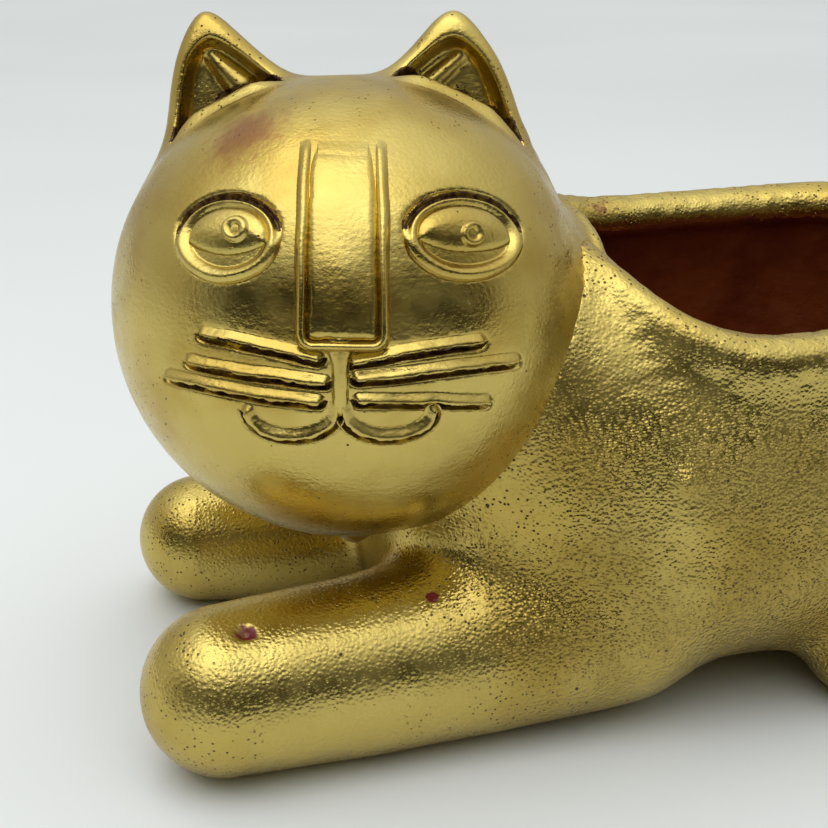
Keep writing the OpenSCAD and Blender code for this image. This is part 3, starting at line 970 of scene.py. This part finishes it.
# Along the face's y: the middle of an ear's rim, its thin plate, and the brow before its hollow.
EAR_Y = 1
WEB_FRONT = 2.4
WEB_BACK = 5
BROW_Y = -6.4
BROW_RISE = 1.9
EAR_FILLET = 11
# Places go round each ear's edge in the face's x-z plane: inner foot, tip, bend and outer foot.
EARS = {
    "left": {
        "hand": 1,
        "edge": [(5.6, 45.4), (22.6, 64.2), (33.2, 53.5), (39.2, 32)],
        "folds": [((27, 55), (16.2, 45.6), 0.9, 1.9), ((30, 52), (33, 43), 0.7, 1.2)],
    },
    "right": {
        "hand": -1,
        "edge": [(-10.4, 46.2), (-30.6, 64.2), (-37.4, 53.5), (-38.4, 34)],
        "folds": [((-30, 54), (-22.5, 46.5), 1.2, 3.2)],
    },
}


def ear_edge(x, z, side):
    """Distance outside an ear's rounded outline, less than 0 inside it."""
    ear = EARS[side]
    places = np.array(ear["edge"])
    gap = np.full(len(x), -99.0)
    for start, end in zip(places[:-1], places[1:]):
        way = (end - start) / np.linalg.norm(end - start)
        gap = smooth_max(gap, ear["hand"] * (way[0] * (z - start[1]) - way[1] * (x - start[0])), 9)
    return gap


def ear_rim_r(z):
    """Radius of an ear's rounded rim: thick at the foot, slimmer at the tip."""
    return 4.4 - 0.5 * step_up(z, 38, 58)


def ear_pocket(local, side):
    """The hollow of an ear: less than 0 inside it. It runs a little down into the ball."""
    x, y, z = local.T
    ragged = 0.35 * noise(local, 2.0) + 0.25 * noise(local, 1.0)
    inset = 4.1 + 2 * step_up(z, 50, 60) - 0.28 * np.clip(WEB_FRONT - y, 0, 8)
    pocket = smooth_max(ear_edge(x, z, side) + inset, y - WEB_FRONT, 2.5)
    pocket = smooth_max(pocket, BROW_Y - y + ragged, 0.8)
    return np.maximum(pocket, -(globe(local @ FACE.T + HEAD) + POCKET_DEPTH))


def fold_gap(local, start, end, r_start, r_end):
    """Distance to a rounded ridge lying on the floor of an ear's hollow."""
    start, end = np.array([start[0], WEB_FRONT, start[1]]), np.array([end[0], WEB_FRONT, end[1]])
    way = end - start
    t = np.clip((local - start) @ way / (way @ way), 0, 1)
    return np.linalg.norm(local - start - t[:, None] * way, axis=1) - (r_start + (r_end - r_start) * t)


def ear_shadow(side):
    """Tells which places lie low in an ear's hollow, where shade is painted in."""
    def test(points):
        local = (points - HEAD) @ FACE
        low = globe(points) < np.minimum(3.2 + 2.2 * noise(local, 4), 8)
        return low & (ear_pocket(local, side) < 0.8) & (local[:, 1] > BROW_Y + 1.2)
    return test


def make_ears():
    """Each ear: a rounded rim round a thin plate, with folds in its hollow, flowing out over the ball."""
    for side in EARS:
        def field(points, side=side):
            local = (points - HEAD) @ FACE
            x, y, z = local.T
            above = globe(points)
            edge = ear_edge(x, z, side)
            rim_r = ear_rim_r(z)
            rim = np.hypot(edge + rim_r, y - EAR_Y) - rim_r
            web = np.maximum(edge + 2, np.maximum(WEB_FRONT - y, y - WEB_BACK))
            sheet = smooth_min(rim, web, 2.5)
            brow = BROW_RISE * bump(y, BROW_Y - 0.8, 3) * step_up(-edge, 1, 7)
            own = smooth_min(sheet, above - brow, EAR_FILLET) + 0.02
            pocket = ear_pocket(local, side)
            own = smooth_max(own, -pocket, 1.2)
            for start, end, r_start, r_end in EARS[side]["folds"]:
                own = smooth_min(own, fold_gap(local, start, end, r_start, r_end), 2.2)
            inner = above + 0.8 + (POCKET_DEPTH + 0.4) * step_up(-pocket, -2, 0)
            return np.maximum(np.maximum(own, -inner), sheet - EAR_FILLET - 0.2)

        low, high = grown(f"{side}_ear", 14)
        obj = surface(f"{side}_ear", field, low, high, 0.45)
        finish_piece(obj, f"{side}_ear", SMOOTH)
        # The second material paints shade low in the ear's hollow.
        show_second(obj, ear_shadow(side), GROOVE_SHADE_PAINT)


def under_the_lip(points):
    """Tells which places face the hollow below the lip, where hardly any gold was sprayed in."""
    below = rim_height(points) - points[:, 2]
    return (pot_hollow(points) < 1.6) & (below > 1.5 + 1.5 * noise(points, 9) + noise(points, 3))


def make_body():
    """The pot, painted outside and bare inside."""
    low, high = grown("body_pot", 2)
    low[0] -= 4
    high[2] += 2
    body = surface("body", body_field, low, high, 1.17)
    finish_piece(body, "body_pot", PAINT)
    show_second(body, under_the_lip, CLAY_RED)


def make_rim():
    """The rolled lip, which flows broadly into the wall's outside and stands up from its inside."""
    def field(points):
        wall = smooth_max(body_skin(points), -pot_hollow(points), 1)
        own = rim_roll(points)
        outside = step_up(pot_side(points, np.ones(len(points)), WALL / 2), -2, 2)
        fillet = 2 + 10 * outside
        outer = smooth_min(own, wall, fillet) + 0.03
        piece = np.maximum(np.maximum(outer, own - fillet * 1.03), -(wall + 1.5))
        return smooth_max(piece, -(head_form(points) + 0.3), 0.6)

    low, high = grown("rim_coil", 3)
    low[2] -= 10
    rim = surface("rim", field, low, high, 0.8)
    finish_piece(rim, "rim_coil", LIP_PAINT)
    show_second(rim, under_the_lip, CLAY_RED)


def make_seam():
    """The thin, uneven line of slip where the neck stub meets the pot."""
    def ring(points):
        along, out = along_neck(points)
        return np.hypot(along - NECK_REACH, out - NECK_R + 0.3) - 1.25 - 0.25 * noise(points, 4)

    def under(points):
        return np.minimum(np.minimum(head_form(points), body_skin(points)), rim_roll(points))

    low, high = grown("neck_seam", 2)
    seam = surface("seam", luted(ring, under, 1.8), low, high, 0.5)
    finish_piece(seam, "neck_seam", PAINT)


def grounded(form, others):
    """A limb that flows into the body and the other limbs it meets, cut flat at the ground."""
    def field(points):
        own = form(points)
        base = body_skin(points)
        for other in others:
            base = np.minimum(base, other(points))
        outer = smooth_min(own, base, LIMB_FILLET) + 0.03
        piece = np.maximum(np.maximum(outer, -(base + 1.2)), own - LIMB_FILLET - 0.2)
        return smooth_max(piece, -points[:, 2], 1.5)
    return field


def make_limb(node, form, others, margin, step):
    """One limb, meshed in its CAD node's box grown by a margin, but not below the ground."""
    low, high = grown(node, margin)
    low[2] = 0
    obj = surface(node, grounded(form, others), low, high, step)
    finish_piece(obj, node, PAINT)


def make_limbs():
    """Forelegs, haunches, hind paws and tail."""
    for word, side in (("left", -1), ("right", 1)):
        haunch = partial(haunch_form, side=side)
        make_limb(f"{word}_foreleg", partial(foreleg_form, side=side), [], 12, 0.9)
        make_limb(f"{word}_haunch", haunch, [], 10, 1.1)
        make_limb(f"{word}_hind_paw", partial(hind_paw_form, side=side), [haunch], 8, 0.9)
    near = [partial(haunch_form, side=-1), partial(hind_paw_form, side=-1)]
    make_limb("tail", tail_form, near, 8, 0.8)


# ---------- stage ----------

def make_camera():
    """The camera stands before the face, a little above it and looking down on it."""
    data = bpy.data.cameras.new("camera")
    camera = bpy.data.objects.new("camera", data)
    bpy.context.scene.collection.objects.link(camera)
    from_head = Vector((-62.4, -266.8, 85))
    swing, drop = math.radians(14), math.radians(22)
    camera.location = (Vector(HEAD) + from_head) * MM
    ahead = Vector((math.sin(swing) * math.cos(drop), math.cos(swing) * math.cos(drop), -math.sin(drop)))
    camera.rotation_euler = ahead.to_track_quat("-Z", "Y").to_euler()
    data.lens = 57.5
    data.sensor_width = 36
    data.shift_x = 0.059
    bpy.context.scene.camera = camera


def make_floor():
    """A plain pale floor, just under the figure."""
    bpy.ops.mesh.primitive_plane_add(size=6, location=(0, 0, -0.0002))
    floor = bpy.context.object
    floor.name = "floor"
    s = Shader("pale_floor")
    tone = s.mix(s.ramp(s.noise(0.002, 2), 0.3, 0.7), (0.80, 0.83, 0.825, 1), (0.84, 0.87, 0.865, 1))
    floor.data.materials.append(s.finish(Base_Color=tone, Roughness=0.6))


def make_room():
    """Soft light from all round, and a dim side before the face for the gold to mirror."""
    world = bpy.data.worlds.new("studio")
    bpy.context.scene.world = world
    world.use_nodes = True
    tree = world.node_tree
    tree.nodes.clear()
    out = tree.nodes.new("ShaderNodeOutputWorld")
    back = tree.nodes.new("ShaderNodeBackground")
    place = tree.nodes.new("ShaderNodeTexCoord").outputs["Generated"]
    split = tree.nodes.new("ShaderNodeSeparateXYZ")
    tree.links.new(place, split.inputs[0])
    # How far a direction turns towards the dim side of the room.
    facing = tree.nodes.new("ShaderNodeVectorMath")
    facing.operation = "DOT_PRODUCT"
    tree.links.new(place, facing.inputs[0])
    facing.inputs[1].default_value = (-0.23, -0.97, 0)
    sector = tree.nodes.new("ShaderNodeMapRange")
    sector.interpolation_type = "SMOOTHSTEP"
    sector.inputs[1].default_value, sector.inputs[2].default_value = 0.05, 0.5
    tree.links.new(facing.outputs["Value"], sector.inputs[0])
    # The dim side is only for what the gold mirrors. Seen directly, the room is pale all round.
    mirrored = tree.nodes.new("ShaderNodeMath")
    mirrored.operation = "SUBTRACT"
    mirrored.use_clamp = True
    tree.links.new(sector.outputs[0], mirrored.inputs[0])
    tree.links.new(tree.nodes.new("ShaderNodeLightPath").outputs["Is Camera Ray"], mirrored.inputs[1])
    mix = tree.nodes.new("ShaderNodeMix")
    mix.data_type = "RGBA"
    tree.links.new(mirrored.outputs[0], mix.inputs[0])
    # Height, from 0 at the horizon to 1 overhead, and brightness there.
    pale = [(0.0, 0.5), (0.36, 0.55), (0.56, 0.7), (0.78, 1.0), (1.0, 1.4)]
    dim = [(0.0, 0.02), (0.36, 0.025), (0.56, 0.2), (0.78, 1.0), (1.0, 1.4)]
    tree.links.new(sky_ramp(tree, split.outputs["Z"], pale), mix.inputs[6])
    tree.links.new(sky_ramp(tree, split.outputs["Z"], dim), mix.inputs[7])
    tree.links.new(mix.outputs[2], back.inputs[0])
    tree.links.new(back.outputs[0], out.inputs[0])
    bpy.context.scene.view_settings.view_transform = "Standard"


def sky_ramp(tree, height, stops):
    """Brightness of the room by height. Dim parts are a little warmer."""
    ramp = tree.nodes.new("ShaderNodeValToRGB")
    tree.links.new(height, ramp.inputs[0])
    elements = ramp.color_ramp.elements
    while len(elements) < len(stops):
        elements.new(0.5)
    for element, (position, level) in zip(elements, stops):
        element.position = position
        cool = min(level, 1)
        tint = (1.03 - 0.05 * cool, 0.95 + 0.05 * cool, 0.75 + 0.27 * cool)
        element.color = (*[level * part for part in tint], 1)
    return ramp.outputs[0]


def add_light(name, location, target, size, power):
    """A soft rectangular light, turned towards a target."""
    data = bpy.data.lights.new(name, "AREA")
    data.shape = "RECTANGLE"
    data.size, data.size_y = size
    data.energy = power
    light = bpy.data.objects.new(name, data)
    light.location = location
    light.rotation_euler = (Vector(target) - Vector(location)).to_track_quat("-Z", "Y").to_euler()
    bpy.context.scene.collection.objects.link(light)


make_camera()
make_floor()
make_room()
add_light("ceiling", (-0.28, -0.16, 0.85), (-0.05, 0, 0.05), (0.9, 0.8), 2.4)
make_head()
make_body()
make_rim()
make_seam()
make_limbs()
make_face()
make_ears()
